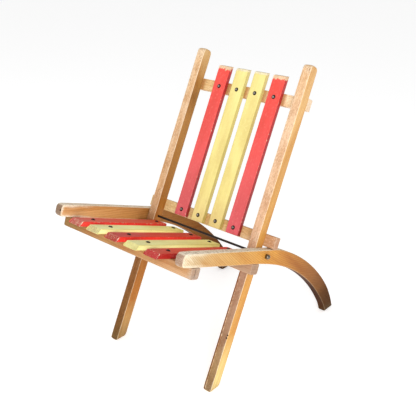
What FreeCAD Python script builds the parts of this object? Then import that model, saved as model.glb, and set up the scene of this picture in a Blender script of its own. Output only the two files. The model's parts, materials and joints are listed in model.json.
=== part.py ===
import FreeCAD, Part
import os
import math
import Sketcher

# Folding slatted wooden chair.
# Two rigid frames cross on one steel rod.  The seat frame is a pair of sawn
# side members, straight beside the seat and curved down into the rear legs,
# tied by two cross rails that carry five slats.  The back frame is a pair of
# straight posts, front foot to top of back, tied by two cross rails that
# carry four slats.  The back frame turns forward about the rod until its
# posts lie between the arms.
#
# Axes: X across (left side -X), +Y to the rear, +Z up, floor at Z = 0.
# Origin: centre of the footprint, on the floor.
#
# Two working frames share the pivot axis:
#   seat pieces: "run" is forward along the arm, "off" is up, square to it
#   back pieces: "run" is up along the post, "off" is forward, square to it

V = FreeCAD.Vector
doc = FreeCAD.newDocument("folding_slat_chair")
dims = doc.addObject("Spreadsheet::Sheet", "dims")

CELLS = [
    # overall attitude
    ("pivot_height", 325.5, "pivot axis above the floor"),
    ("pivot_set", -30.335, "pivot axis from the footprint centre, along Y"),
    ("arm_pitch", 19.86, "arm rises forward by this many degrees"),
    ("deck_tilt", 0.674, "seat deck is pitched this much more than the arm"),
    ("back_lean", 26.45, "posts lean back from vertical, degrees"),
    ("leg_round", 2.5, "long edges of side members"),
    ("post_round", 2.0, "long edges of posts"),
    ("slat_round", 1.8, "long edges of slats"),
    ("rail_round", 2.0, "long edges of rails"),
    ("rail_end_round", 1.2, "end edges of rails"),
    # side member (arm and rear leg)
    ("arm_inner", 186.0, "inner face of arm from the middle"),
    ("arm_thick", 24.0, ""),
    ("arm_top", 15.9, "straight top edge above the pivot axis"),
    ("arm_front", 327.0, "front end"),
    ("arm_nose", 11.0, "corner radius of the front end"),
    ("under_slope", 0.6765, "under edge rises forward by this much more than the top"),
    ("under_run", 45.0, "where the under edge starts to curve"),
    ("under_off", 19.2, ""),
    ("top_run", 52.2, "behind the axis, where the top edge starts to curve"),
    ("top_r_one", 150.0, "outer edge of the rear leg: three tangent arcs"),
    ("top_sweep_one", 7.85, ""),
    ("top_r_two", 777.0, ""),
    ("top_sweep_two", 23.67, ""),
    ("top_r_three", 376.4, ""),
    ("top_sweep_three", 19.479934, "ends on the floor"),
    ("in_r_one", 1013.0, "inner edge of the rear leg: three tangent arcs"),
    ("in_sweep_one", 5.53, ""),
    ("in_r_two", 700.0, ""),
    ("in_sweep_two", 30.9, ""),
    ("in_r_three", 150.0, ""),
    ("in_sweep_three", 15.612234, "ends on the floor"),
    # post (back upright and front leg)
    ("post_inner", 158.0, "inner face of post from the middle"),
    ("post_thick", 25.0, ""),
    ("post_front", 16.0, "front face ahead of the axis"),
    ("post_rear", 16.5, "rear face behind the axis"),
    ("post_top", 483.0, ""),
    ("post_top_r", 10.5, "corner radius of the post's top"),
    ("foot_flat_off", 8.0, "end of the flat of the front foot, behind the axis"),
    ("foot_ease_run", 347.0, "top of the eased rear corner of the front foot"),
    ("foot_ease_r", 16.0, ""),
    # seat rails
    ("seat_rail_half", 209.5, "half length"),
    ("seat_rail_top", 20.3, "below the axis, deck frame"),
    ("seat_rail_deep", 26.5, ""),
    ("front_rail_run", 259.0, "rear edge of the front rail"),
    ("front_rail_wide", 29.5, ""),
    ("rear_rail_run", 20.75, "rear edge of the rear rail"),
    ("rear_rail_wide", 31.9, ""),
    ("rail_low_r", 6.0, "lower corners of the seat rails"),
    # seat slats
    ("seat_pitch", 62.2, "slat centre to slat centre"),
    ("slat_wide", 40.0, ""),
    ("seat_slat_thick", 12.8, ""),
    ("seat_slat_rear", 20.5, "rear end"),
    ("seat_slat_front", 334.0, "front end at the under face"),
    ("slat_slope", 8.5, "front end slopes back by this much to the top face"),
    ("seat_screw_front", 276.0, ""),
    ("seat_screw_rear", 42.0, ""),
    # back rails
    ("back_rail_deep", 20.0, ""),
    ("upper_rail_half", 184.0, ""),
    ("upper_rail_run", 374.5, "under edge"),
    ("lower_rail_half", 214.5, ""),
    ("lower_rail_run", 20.5, "under edge"),
    ("back_rail_wide", 31.0, ""),
    # back slats
    ("back_pitch", 59.6, ""),
    ("back_slat_thick", 13.4, ""),
    ("back_slat_low", 22.0, "lower end"),
    ("back_slat_high", 451.0, "upper end at the rear face"),
    ("back_slope", 4.5, "upper end slopes down by this much to the front face"),
    ("back_screw_high", 390.0, ""),
    ("back_screw_low", 39.7, ""),
    # wood screws
    ("screw_r", 2.0, "shank radius"),
    ("screw_hole_r", 2.05, ""),
    ("head_r", 5.6, ""),
    ("head_high", 2.9, ""),
    ("seat_screw_long", 33.0, "under the head"),
    ("back_screw_long", 29.0, ""),
    ("seat_bolt_long", 44.0, "rail to arm screw, under the head"),
    ("back_bolt_long", 36.0, "rail to post screw, under the head"),
    ("blind_extra", 0.5, "hole past the screw's tip"),
    # pivot hardware
    ("rod_r", 3.0, ""),
    ("rod_half", 209.9, "half length"),
    ("rod_fit_r", 3.02, "hole in the arms"),
    ("rod_run_r", 3.06, "running hole in the posts"),
    ("cap_r", 6.5, ""),
    ("cap_high", 11.0, "how far a cap stands off the arm"),
    ("cap_lip", 5.5, "straight part of a cap"),
    ("washer_r", 9.0, ""),
    ("washer_thick", 2.65, ""),
]

VAL = {}
row = 1
for alias, value, note in CELLS:
    dims.set("A%d" % row, alias)
    dims.set("B%d" % row, repr(float(value)))
    dims.setAlias("B%d" % row, alias)
    if note:
        dims.set("C%d" % row, note)
    VAL[alias] = float(value)
    row += 1
doc.recompute()


class Q:
    """A size: its value now, and the expression that binds it to the sheet."""

    def __init__(self, text, val):
        self.text = text
        self.val = val

    @staticmethod
    def of(x):
        if isinstance(x, Q):
            return x
        return Q(repr(float(x)), float(x))

    def __add__(self, o):
        o = Q.of(o)
        return Q("(%s + %s)" % (self.text, o.text), self.val + o.val)

    def __radd__(self, o):
        return Q.of(o) + self

    def __sub__(self, o):
        o = Q.of(o)
        return Q("(%s - %s)" % (self.text, o.text), self.val - o.val)

    def __rsub__(self, o):
        return Q.of(o) - self

    def __mul__(self, o):
        o = Q.of(o)
        return Q("(%s * %s)" % (self.text, o.text), self.val * o.val)

    def __rmul__(self, o):
        return Q.of(o) * self

    def __truediv__(self, o):
        o = Q.of(o)
        return Q("(%s / %s)" % (self.text, o.text), self.val / o.val)

    def __neg__(self):
        return Q("(0 - %s)" % self.text, -self.val)


def D(alias):
    return Q("dims.%s" % alias, VAL[alias])


def sin_q(a):
    return Q("sin(%s)" % a.text, math.sin(math.radians(a.val)))


def cos_q(a):
    return Q("cos(%s)" % a.text, math.cos(math.radians(a.val)))


# --- working frames ---------------------------------------------------------
ARM_ANGLE = D("arm_pitch")
DECK_ANGLE = D("arm_pitch") + D("deck_tilt")
POST_ANGLE = D("back_lean")


def put(body, angle, x=None, run=None, off=None, back=False):
    """Place a body on the pivot axis, tipped back by angle, then moved to
    (run, off) of its working frame."""
    y = D("pivot_set")
    z = D("pivot_height")
    if run is not None:
        if back:
            y = y + run * sin_q(angle) - off * cos_q(angle)
            z = z + run * cos_q(angle) + off * sin_q(angle)
        else:
            y = y - run * cos_q(angle) + off * sin_q(angle)
            z = z + run * sin_q(angle) + off * cos_q(angle)
    xv = x.val if x is not None else 0.0
    body.Placement = FreeCAD.Placement(V(xv, y.val, z.val), FreeCAD.Rotation(V(-1, 0, 0), angle.val))
    if x is not None:
        body.setExpression(".Placement.Base.x", x.text)
    body.setExpression(".Placement.Base.y", y.text)
    body.setExpression(".Placement.Base.z", z.text)
    body.setExpression(".Placement.Rotation.Angle", angle.text)


def plane_of(body, role):
    return [f for f in body.Origin.OriginFeatures if f.Role == role][0]


def new_sketch(body, name, role, lift=None, tilt=None):
    """Sketch on an origin plane, lifted along its normal; tilt first turns
    the plane about X by that many degrees, nose up."""
    sk = body.newObject("Sketcher::SketchObject", name)
    sk.AttachmentSupport = [(plane_of(body, role), "")]
    sk.MapMode = "FlatFace"
    if lift is not None:
        if tilt is None:
            sk.AttachmentOffset = FreeCAD.Placement(V(0, 0, lift.val), FreeCAD.Rotation())
            sk.setExpression(".AttachmentOffset.Base.z", lift.text)
        else:
            y, z = lift * sin_q(tilt), lift * cos_q(tilt)
            sk.AttachmentOffset = FreeCAD.Placement(
                V(0, y.val, z.val), FreeCAD.Rotation(V(-1, 0, 0), tilt.val))
            sk.setExpression(".AttachmentOffset.Base.y", y.text)
            sk.setExpression(".AttachmentOffset.Base.z", z.text)
            sk.setExpression(".AttachmentOffset.Rotation.Angle", tilt.text)
    return sk


def pin_point(sk, geo, pos, x, y):
    """Hold one point of the sketch at (x, y), bound to the sheet."""
    for kind, q, axis in (("DistanceX", x, -2), ("DistanceY", y, -1)):
        if abs(q.val) < 1e-9:
            sk.addConstraint(Sketcher.Constraint("PointOnObject", geo, pos, axis))
            continue
        if q.val > 0:
            i = sk.addConstraint(Sketcher.Constraint(kind, -1, 1, geo, pos, q.val))
            sk.setExpression("Constraints[%d]" % i, q.text)
        else:
            i = sk.addConstraint(Sketcher.Constraint(kind, geo, pos, -1, 1, -q.val))
            sk.setExpression("Constraints[%d]" % i, (-q).text)


def add_arc(sk, p, q, radius, bulge):
    """Minor arc between p and q.  bulge +1 puts it on the left of the way
    from p to q, -1 on the right.  A sketch's arc runs counter-clockwise, so
    the point numbers of p and q are returned with it."""
    mx, my = (p[0] + q[0]) / 2.0, (p[1] + q[1]) / 2.0
    dx, dy = q[0] - p[0], q[1] - p[1]
    chord = math.hypot(dx, dy)
    reach = math.sqrt(max(radius * radius - chord * chord / 4.0, 0.0))
    nx, ny = -dy / chord, dx / chord
    cx, cy = mx - bulge * reach * nx, my - bulge * reach * ny
    first, last, ends = (p, q, (1, 2)) if bulge < 0 else (q, p, (2, 1))
    a0 = math.atan2(first[1] - cy, first[0] - cx)
    a1 = math.atan2(last[1] - cy, last[0] - cx)
    if a1 < a0:
        a1 += 2.0 * math.pi
    arc = Part.ArcOfCircle(Part.Circle(V(cx, cy, 0), V(0, 0, 1), radius), a0, a1)
    return sk.addGeometry(arc, False), ends


def outline(sk, verts):
    """Closed outline.  verts: (x, y, None) starts a line to the next vertex,
    (x, y, (radius, bulge)) starts an arc to it."""
    n = len(verts)
    geos = []
    for i in range(n):
        x, y, how = verts[i]
        x2, y2, _ = verts[(i + 1) % n]
        p, q = (x.val, y.val), (x2.val, y2.val)
        if how is None:
            g = sk.addGeometry(Part.LineSegment(V(p[0], p[1], 0), V(q[0], q[1], 0)), False)
            ends = (1, 2)
        else:
            g, ends = add_arc(sk, p, q, how[0].val, how[1])
        geos.append((g, ends))
    for i in range(n):
        g, ends = geos[i]
        g2, ends2 = geos[(i + 1) % n]
        sk.addConstraint(Sketcher.Constraint("Coincident", g, ends[1], g2, ends2[0]))
    for i in range(n):
        x, y, how = verts[i]
        g, ends = geos[i]
        pin_point(sk, g, ends[0], x, y)
        if how is not None:
            c = sk.addConstraint(Sketcher.Constraint("Radius", g, how[0].val))
            sk.setExpression("Constraints[%d]" % c, how[0].text)


def ring(sk, x, y, radius):
    g = sk.addGeometry(Part.Circle(V(x.val, y.val, 0), V(0, 0, 1), radius.val), False)
    if abs(x.val) < 1e-9 and abs(y.val) < 1e-9:
        sk.addConstraint(Sketcher.Constraint("Coincident", g, 3, -1, 1))
    else:
        pin_point(sk, g, 3, x, y)
    c = sk.addConstraint(Sketcher.Constraint("Radius", g, radius.val))
    sk.setExpression("Constraints[%d]" % c, radius.text)


def new_body(label):
    body = doc.addObject("PartDesign::Body", label)
    body.Label = label
    return body


def pad_profile(body, verts, x_low, thick, holes=()):
    """Side profile in the body's YZ plane, padded across by thick."""
    sk = new_sketch(body, body.Name + "_profile", "YZ_Plane", x_low)
    outline(sk, verts)
    for hx, hy, hr in holes:
        ring(sk, hx, hy, hr)
    pad = body.newObject("PartDesign::Pad", body.Name + "_pad")
    pad.Profile = sk
    pad.Type = "Length"
    pad.Length = thick.val
    pad.setExpression("Length", thick.text)
    doc.recompute()
    return pad


def bore(body, role, lift, spots, radius, depth=None, tilt=None):
    """Round pockets from the plane at lift, along the plane's own back side."""
    name = body.Name + "_holes"
    k = 1
    while doc.getObject(name + str(k)):
        k += 1
    before = body.Shape.Volume
    sk = new_sketch(body, name + "_sketch" + str(k), role, lift, tilt)
    for sx, sy in spots:
        ring(sk, sx, sy, radius)
    pk = body.newObject("PartDesign::Pocket", name + str(k))
    pk.Profile = sk
    if depth is None:
        pk.Type = "ThroughAll"
    else:
        pk.Type = "Length"
        pk.Length = depth.val
        pk.setExpression("Length", depth.text)
    doc.recompute()
    if body.Shape.Volume > before - 1.0:
        raise RuntimeError("pocket cut nothing in " + body.Label)
    return pk


def soften(body, base, radius, pick):
    """Fillet the picked edges of the last feature."""
    names = []
    for i, e in enumerate(base.Shape.Edges):
        if pick(e):
            names.append("Edge%d" % (i + 1))
    f = body.newObject("PartDesign::Fillet", body.Name + "_round")
    f.Base = (base, names)
    f.Radius = radius.val
    f.setExpression("Radius", radius.text)
    doc.recompute()
    return f


def on_side(x_values, angle=None, back=False):
    """Edges that lie wholly in one of the faces at the given local X, apart
    from those on the floor."""
    def height(v):
        if back:
            run, off = v.Z, -v.Y
            return VAL["pivot_height"] + run * math.cos(angle) + off * math.sin(angle)
        run, off = -v.Y, v.Z
        return VAL["pivot_height"] + run * math.sin(angle) + off * math.cos(angle)

    def pick(e):
        if len(e.Vertexes) < 2:
            return False
        b = e.BoundBox
        if b.XMax - b.XMin > 1e-6:
            return False
        if angle is not None and all(height(v) < 0.01 for v in e.Vertexes):
            return False
        return any(abs(b.XMin - x) < 1e-6 for x in x_values)
    return pick


# --- side members: arm and rear leg in one ---------------------------------
def seat_xy(run, off):
    return (-run, off)


def turn(point, heading, radius, sweep):
    """End of a tangent arc that turns left from a heading (seat frame)."""
    after = heading + sweep
    run = point[0] + radius * (sin_q(after) - sin_q(heading))
    off = point[1] + radius * (cos_q(heading) - cos_q(after))
    return (run, off), after


def floor_off(run):
    """Offset at which a point at this run meets the floor (seat frame)."""
    return -((D("pivot_height") + run * sin_q(ARM_ANGLE)) / cos_q(ARM_ANGLE))


def side_profile():
    nose, front = D("arm_nose"), D("arm_front")
    top = D("arm_top")
    # outer edge, from the straight top back and down to the heel
    p0 = (-D("top_run"), top)
    h = Q.of(180.0)
    p1, h = turn(p0, h, D("top_r_one"), D("top_sweep_one"))
    p2, h = turn(p1, h, D("top_r_two"), D("top_sweep_two"))
    p3, h = turn(p2, h, D("top_r_three"), D("top_sweep_three"))
    # inner edge, from the straight under edge back and down to the instep;
    # the under edge falls away to the rear at a small angle
    q0 = (D("under_run"), -D("under_off"))
    slope = D("under_slope")
    under = D("under_off") - (front - nose - D("under_run")) * sin_q(slope) / cos_q(slope)
    g = slope + 180.0
    nose_mid = nose / cos_q(slope) - under
    q1, g = turn(q0, g, D("in_r_one"), D("in_sweep_one"))
    q2, g = turn(q1, g, D("in_r_two"), D("in_sweep_two"))
    q3, g = turn(q2, g, D("in_r_three"), D("in_sweep_three"))
    print("heel off arc %.3f floor %.3f   instep off arc %.3f floor %.3f" % (
        p3[1].val, floor_off(p3[0]).val, q3[1].val, floor_off(q3[0]).val))
    pts = [
        (front - nose, top, None),
        (p0[0], p0[1], (D("top_r_one"), -1)),
        (p1[0], p1[1], (D("top_r_two"), -1)),
        (p2[0], p2[1], (D("top_r_three"), -1)),
        (p3[0], floor_off(p3[0]), None),
        (q3[0], floor_off(q3[0]), (D("in_r_three"), 1)),
        (q2[0], q2[1], (D("in_r_two"), 1)),
        (q1[0], q1[1], (D("in_r_one"), 1)),
        (q0[0], q0[1], None),
        (front - nose + nose * sin_q(slope), nose_mid - nose * cos_q(slope), (nose, -1)),
        (front, nose_mid, None),
        (front, top - nose, (nose, -1)),
    ]
    out = []
    for run, off, how in pts:
        x, y = seat_xy(run, off)
        if how is not None:
            # the sketch's x axis runs to the rear, so left and right swap
            how = (how[0], -how[1])
        out.append((x, y, how))
    return out


RAIL_BOLT_X = D("arm_inner") + D("arm_thick") / 2.0
FRONT_BOLT = D("front_rail_run") + D("front_rail_wide") / 2.0
REAR_BOLT = D("rear_rail_run") + D("rear_rail_wide") / 2.0
ZERO = Q.of(0.0)


def side_member(label, x_low):
    body = new_body(label)
    pad = pad_profile(body, side_profile(), x_low, D("arm_thick"),
                      [(ZERO, ZERO, D("rod_fit_r"))])
    # blind holes for the rail screws, square to the seat deck
    mid = x_low + D("arm_thick") / 2.0
    tip = D("seat_bolt_long") + D("blind_extra") - D("seat_rail_top") - D("seat_rail_deep")
    pk = bore(body, "XY_Plane", tip, [(mid, -FRONT_BOLT), (mid, -REAR_BOLT)],
              D("screw_hole_r"), D("seat_bolt_long"), D("deck_tilt"))
    soften(body, pk, D("leg_round"), on_side([x_low.val, x_low.val + VAL["arm_thick"]],
                                              math.radians(ARM_ANGLE.val)))
    put(body, ARM_ANGLE)
    return body


left_leg = side_member("left_side_leg", -D("arm_inner") - D("arm_thick"))
right_leg = side_member("right_side_leg", D("arm_inner"))


# --- posts: back upright and front leg in one -------------------------------
def back_xy(run, off):
    return (-off, run)


def floor_run(off):
    return -((D("pivot_height") + off * sin_q(POST_ANGLE)) / cos_q(POST_ANGLE))


def post_profile():
    f, r, tp, tr = D("post_front"), D("post_rear"), D("post_top"), D("post_top_r")
    pts = [
        (floor_run(f), f, None),
        (tp - tr, f, (tr, 1)),
        (tp, f - tr, None),
        (tp, tr - r, (tr, 1)),
        (tp - tr, -r, None),
        (-D("foot_ease_run"), -r, (D("foot_ease_r"), 1)),
        (floor_run(-D("foot_flat_off")), -D("foot_flat_off"), None),
    ]
    out = []
    for run, off, how in pts:
        x, y = back_xy(run, off)
        out.append((x, y, how))
    return out


UPPER_BOLT = D("upper_rail_run") + D("back_rail_wide") / 2.0
LOWER_BOLT = D("lower_rail_run") + D("back_rail_wide") / 2.0
POST_MID = D("post_inner") + D("post_thick") / 2.0


def post(label, x_low):
    body = new_body(label)
    pad_profile(body, post_profile(), x_low, D("post_thick"),
                [(ZERO, ZERO, D("rod_run_r"))])
    mid = x_low + D("post_thick") / 2.0
    # blind holes from behind for the rail screws
    tip = D("back_bolt_long") + D("blind_extra") - D("post_rear") - D("back_rail_deep")
    pk = bore(body, "XZ_Plane", tip, [(mid, UPPER_BOLT), (mid, LOWER_BOLT)],
              D("screw_hole_r"), D("back_bolt_long"))
    soften(body, pk, D("post_round"), on_side([x_low.val, x_low.val + VAL["post_thick"]],
                                              math.radians(POST_ANGLE.val), True))
    put(body, POST_ANGLE)
    return body


left_post = post("left_post", -D("post_inner") - D("post_thick"))
right_post = post("right_post", D("post_inner"))


# --- seat rails --------------------------------------------------------------
def seat_rail(label, run, wide):
    body = new_body(label)
    hi = -D("seat_rail_top")
    lo = hi - D("seat_rail_deep")
    a, b = D("rail_round"), D("rail_low_r")
    pts = [
        (run + a, hi, None),
        (run + wide - a, hi, (a, 1)),
        (run + wide, hi - a, None),
        (run + wide, lo + b, (b, 1)),
        (run + wide - b, lo, None),
        (run + b, lo, (b, 1)),
        (run, lo + b, None),
        (run, hi - a, (a, 1)),
    ]
    # the sketch's x axis runs to the rear, so left and right swap
    verts = [seat_xy(r, o) + (None if how is None else (how[0], -how[1]),) for r, o, how in pts]
    pad_profile(body, verts, -D("seat_rail_half"), D("seat_rail_half") * 2.0)
    mid = run + wide / 2.0
    screw = D("seat_screw_front") if label == "seat_front_rail" else D("seat_screw_rear")
    slat_spots = [(D("seat_pitch") * k, -screw) for k in (-2.0, -1.0, 0.0, 1.0, 2.0)]
    depth = D("seat_screw_long") - D("seat_slat_thick") + D("blind_extra")
    bore(body, "XY_Plane", hi, slat_spots, D("screw_hole_r"), depth)
    pk = bore(body, "XY_Plane", hi, [(-RAIL_BOLT_X, -mid), (RAIL_BOLT_X, -mid)], D("screw_hole_r"))
    soften(body, pk, D("rail_end_round"), on_side([-VAL["seat_rail_half"], VAL["seat_rail_half"]]))
    put(body, DECK_ANGLE)
    return body


front_rail = seat_rail("seat_front_rail", D("front_rail_run"), D("front_rail_wide"))
rear_rail = seat_rail("seat_rear_rail", D("rear_rail_run"), D("rear_rail_wide"))


# --- back rails --------------------------------------------------------------
def back_rail(label, run, half, screw):
    body = new_body(label)
    hi = -D("post_rear")
    lo = hi - D("back_rail_deep")
    wide = D("back_rail_wide")
    a = D("rail_round")
    pts = [
        (run + a, hi, None),
        (run + wide - a, hi, (a, 1)),
        (run + wide, hi - a, None),
        (run + wide, lo + a, (a, 1)),
        (run + wide - a, lo, None),
        (run + a, lo, (a, 1)),
        (run, lo + a, None),
        (run, hi - a, (a, 1)),
    ]
    verts = [back_xy(r, o) + (how,) for r, o, how in pts]
    pad_profile(body, verts, -half, half * 2.0)
    spots = [(D("back_pitch") * k, screw) for k in (-1.5, -0.5, 0.5, 1.5)]
    depth = D("back_screw_long") - D("back_slat_thick") + D("blind_extra")
    bore(body, "XZ_Plane", hi, spots, D("screw_hole_r"), depth)
    mid = run + wide / 2.0
    pk = bore(body, "XZ_Plane", hi, [(-POST_MID, mid), (POST_MID, mid)], D("screw_hole_r"))
    soften(body, pk, D("rail_end_round"), on_side([-half.val, half.val]))
    put(body, POST_ANGLE)
    return body


upper_rail = back_rail("back_upper_rail", D("upper_rail_run"), D("upper_rail_half"), D("back_screw_high"))
lower_rail = back_rail("back_lower_rail", D("lower_rail_run"), D("lower_rail_half"), D("back_screw_low"))


# --- slats ---------------------------------------------------------------------
def seat_slat(number, k):
    body = new_body("seat_slat_%d" % number)
    lo = -D("seat_rail_top")
    hi = lo + D("seat_slat_thick")
    a, b = D("seat_slat_rear"), D("seat_slat_front")
    pts = [(a, hi), (b - D("slat_slope"), hi), (b, lo), (a, lo)]
    verts = [seat_xy(r, o) + (None,) for r, o in pts]
    pad_profile(body, verts, -D("slat_wide") / 2.0, D("slat_wide"))
    pk = bore(body, "XY_Plane", hi, [(ZERO, -D("seat_screw_front")), (ZERO, -D("seat_screw_rear"))],
              D("screw_hole_r"))
    soften(body, pk, D("slat_round"), on_side([-VAL["slat_wide"] / 2.0, VAL["slat_wide"] / 2.0]))
    put(body, DECK_ANGLE, D("seat_pitch") * k)
    return body


def back_slat(number, k):
    body = new_body("back_slat_%d" % number)
    lo = -D("post_rear")
    hi = lo + D("back_slat_thick")
    a, b = D("back_slat_low"), D("back_slat_high")
    pts = [(a, hi), (b - D("back_slope"), hi), (b, lo), (a, lo)]
    verts = [back_xy(r, o) + (None,) for r, o in pts]
    pad_profile(body, verts, -D("slat_wide") / 2.0, D("slat_wide"))
    pk = bore(body, "XZ_Plane", hi, [(ZERO, D("back_screw_high")), (ZERO, D("back_screw_low"))],
              D("screw_hole_r"))
    soften(body, pk, D("slat_round"), on_side([-VAL["slat_wide"] / 2.0, VAL["slat_wide"] / 2.0]))
    put(body, POST_ANGLE, D("back_pitch") * k)
    return body


seat_slats = [seat_slat(i + 1, k) for i, k in enumerate((-2.0, -1.0, 0.0, 1.0, 2.0))]
back_slats = [back_slat(i + 1, k) for i, k in enumerate((-1.5, -0.5, 0.5, 1.5))]


# --- round-head wood screws -------------------------------------------------
def screw_row(label, angle, first_x, run, off, length, count, pitch, back, flip=False):
    """A row of equal screws along X.  One is turned, the rest are its
    pattern.  Head outward, shank inward."""
    body = new_body(label)
    body.AllowCompound = True
    role = "XZ_Plane" if not back else "XY_Plane"
    sk = new_sketch(body, label + "_half", role)
    s = -1.0 if flip else 1.0
    hr, hh, r = D("head_r"), D("head_high"), D("screw_r")
    tip = length * -1.0
    if not back:
        # sketch y is the body's Z: outward is up
        pts = [
            (ZERO, hh * s, "arc"),
            (hr, ZERO, None),
            (r, ZERO, None),
            (r, (tip + 3.0) * s, None),
            (ZERO, tip * s, None),
        ]
    else:
        # sketch y is the body's Y: forward is -Y
        pts = [
            (ZERO, hh * (-s), "arc"),
            (hr, ZERO, None),
            (r, ZERO, None),
            (r, (tip + 3.0) * (-s), None),
            (ZERO, tip * (-s), None),
        ]
    dome = (hr * hr + hh * hh) / (hh * 2.0)
    up = 1 if pts[0][1].val > 0 else -1
    verts = []
    for x, y, how in pts:
        verts.append((x, y, (dome, 1 if up > 0 else -1) if how == "arc" else None))
    outline(sk, verts)
    rev = body.newObject("PartDesign::Revolution", label + "_turned")
    rev.Profile = sk
    rev.ReferenceAxis = (sk, ["V_Axis"])
    rev.Angle = 360.0
    doc.recompute()
    pat = body.newObject("PartDesign::LinearPattern", label + "_row")
    pat.Originals = [rev]
    pat.Direction = (sk, ["H_Axis"])
    span = pitch * float(count - 1)
    pat.Length = span.val
    pat.setExpression("Length", span.text)
    pat.Occurrences = count
    body.Tip = pat
    doc.recompute()
    put(body, angle, first_x, run, off, back)
    return body


SEAT_TOP = D("seat_slat_thick") - D("seat_rail_top")
BACK_TOP = D("back_slat_thick") - D("post_rear")
SEAT_LOW = -D("seat_rail_top") - D("seat_rail_deep")
BACK_LOW = -D("post_rear") - D("back_rail_deep")

screw_sets = [
    screw_row("seat_screws_front", DECK_ANGLE, D("seat_pitch") * -2.0, D("seat_screw_front"),
              SEAT_TOP, D("seat_screw_long"), 5, D("seat_pitch"), False),
    screw_row("seat_screws_rear", DECK_ANGLE, D("seat_pitch") * -2.0, D("seat_screw_rear"),
              SEAT_TOP, D("seat_screw_long"), 5, D("seat_pitch"), False),
    screw_row("back_screws_upper", POST_ANGLE, D("back_pitch") * -1.5, D("back_screw_high"),
              BACK_TOP, D("back_screw_long"), 4, D("back_pitch"), True),
    screw_row("back_screws_lower", POST_ANGLE, D("back_pitch") * -1.5, D("back_screw_low"),
              BACK_TOP, D("back_screw_long"), 4, D("back_pitch"), True),
    screw_row("seat_front_rail_screws", DECK_ANGLE, -RAIL_BOLT_X, FRONT_BOLT,
              SEAT_LOW, D("seat_bolt_long"), 2, RAIL_BOLT_X * 2.0, False, True),
    screw_row("seat_rear_rail_screws", DECK_ANGLE, -RAIL_BOLT_X, REAR_BOLT,
              SEAT_LOW, D("seat_bolt_long"), 2, RAIL_BOLT_X * 2.0, False, True),
    screw_row("back_upper_rail_screws", POST_ANGLE, -POST_MID, UPPER_BOLT,
              BACK_LOW, D("back_bolt_long"), 2, POST_MID * 2.0, True, True),
    screw_row("back_lower_rail_screws", POST_ANGLE, -POST_MID, LOWER_BOLT,
              BACK_LOW, D("back_bolt_long"), 2, POST_MID * 2.0, True, True),
]


# --- pivot hardware -----------------------------------------------------------
def rod():
    body = new_body("pivot_rod")
    sk = new_sketch(body, "pivot_rod_section", "YZ_Plane", -D("rod_half"))
    ring(sk, ZERO, ZERO, D("rod_r"))
    pad = body.newObject("PartDesign::Pad", "pivot_rod_pad")
    pad.Profile = sk
    pad.Length = VAL["rod_half"] * 2.0
    pad.setExpression("Length", "dims.rod_half * 2")
    doc.recompute()
    put(body, ARM_ANGLE)
    return body


def cap(label, side):
    """Domed cap pressed on the rod's end, flat against the arm."""
    body = new_body(label)
    sk = new_sketch(body, label + "_half", "XZ_Plane")
    r, hgt = D("cap_r"), D("cap_high")
    lip = D("cap_lip")
    face = D("arm_inner") + D("arm_thick") + 0.05
    dome = (r * r + (hgt - lip) * (hgt - lip)) / ((hgt - lip) * 2.0)
    # half outline about the H axis: x is the body's X, y is its Z
    pts = [
        (-face, ZERO, None),
        (-face, r, None),
        (-face - lip, r, (dome, -1.0)),
        (-face - hgt, ZERO, None),
    ]
    outline(sk, pts)
    rev = body.newObject("PartDesign::Revolution", label + "_turned")
    rev.Profile = sk
    rev.ReferenceAxis = (sk, ["H_Axis"])
    rev.Angle = 360.0
    doc.recompute()
    # the right cap is the left one turned half way round the upright
    body.Placement = FreeCAD.Placement(V(0, VAL["pivot_set"], VAL["pivot_height"]),
                                       FreeCAD.Rotation(V(0, 0, 1), 0.0 if side < 0 else 180.0))
    body.setExpression(".Placement.Base.y", "dims.pivot_set")
    body.setExpression(".Placement.Base.z", "dims.pivot_height")
    return body


def washer(label, side):
    body = new_body(label)
    gap_mid_low = D("arm_inner") - D("washer_thick")
    low = gap_mid_low if side > 0 else -D("arm_inner")
    sk = new_sketch(body, label + "_section", "YZ_Plane", low)
    ring(sk, ZERO, ZERO, D("washer_r"))
    ring(sk, ZERO, ZERO, D("rod_fit_r"))
    pad = body.newObject("PartDesign::Pad", label + "_pad")
    pad.Profile = sk
    pad.Length = VAL["washer_thick"]
    pad.setExpression("Length", "dims.washer_thick")
    doc.recompute()
    put(body, ARM_ANGLE)
    return body


hardware = [
    rod(),
    cap("rod_cap_left", -1),
    cap("rod_cap_right", 1),
    washer("pivot_washer_left", -1),
    washer("pivot_washer_right", 1),
]

doc.recompute()

# --- check and write -----------------------------------------------------------
for o in doc.Objects:
    bad = [s for s in o.State if s in ("Invalid", "Error")]
    if bad:
        raise RuntimeError("%s is %s" % (o.Name, bad))

nodes = [o for o in doc.Objects if o.TypeId == "PartDesign::Body"]
os.makedirs("parts", exist_ok=True)
for o in nodes:
    shp = o.Shape
    if shp.isNull() or not shp.isValid() or not shp.Solids:
        raise RuntimeError("bad shape in " + o.Label)
box = FreeCAD.BoundBox()
for o in nodes:
    b = o.Shape.BoundBox
    box.add(b)
    o.Shape.exportStep("parts/%s.step" % o.Label)
    print("%-26s solids %d  volume %9.0f  Y %7.1f..%7.1f  Z %7.1f..%7.1f" % (
        o.Label, len(o.Shape.Solids), o.Shape.Volume, b.YMin, b.YMax, b.ZMin, b.ZMax))
print("box", [round(v, 2) for v in (box.XMin, box.XMax, box.YMin, box.YMax, box.ZMin, box.ZMax)])
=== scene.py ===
import json
import math
import bpy
import numpy as np
from mathutils import Matrix, Vector

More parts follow.
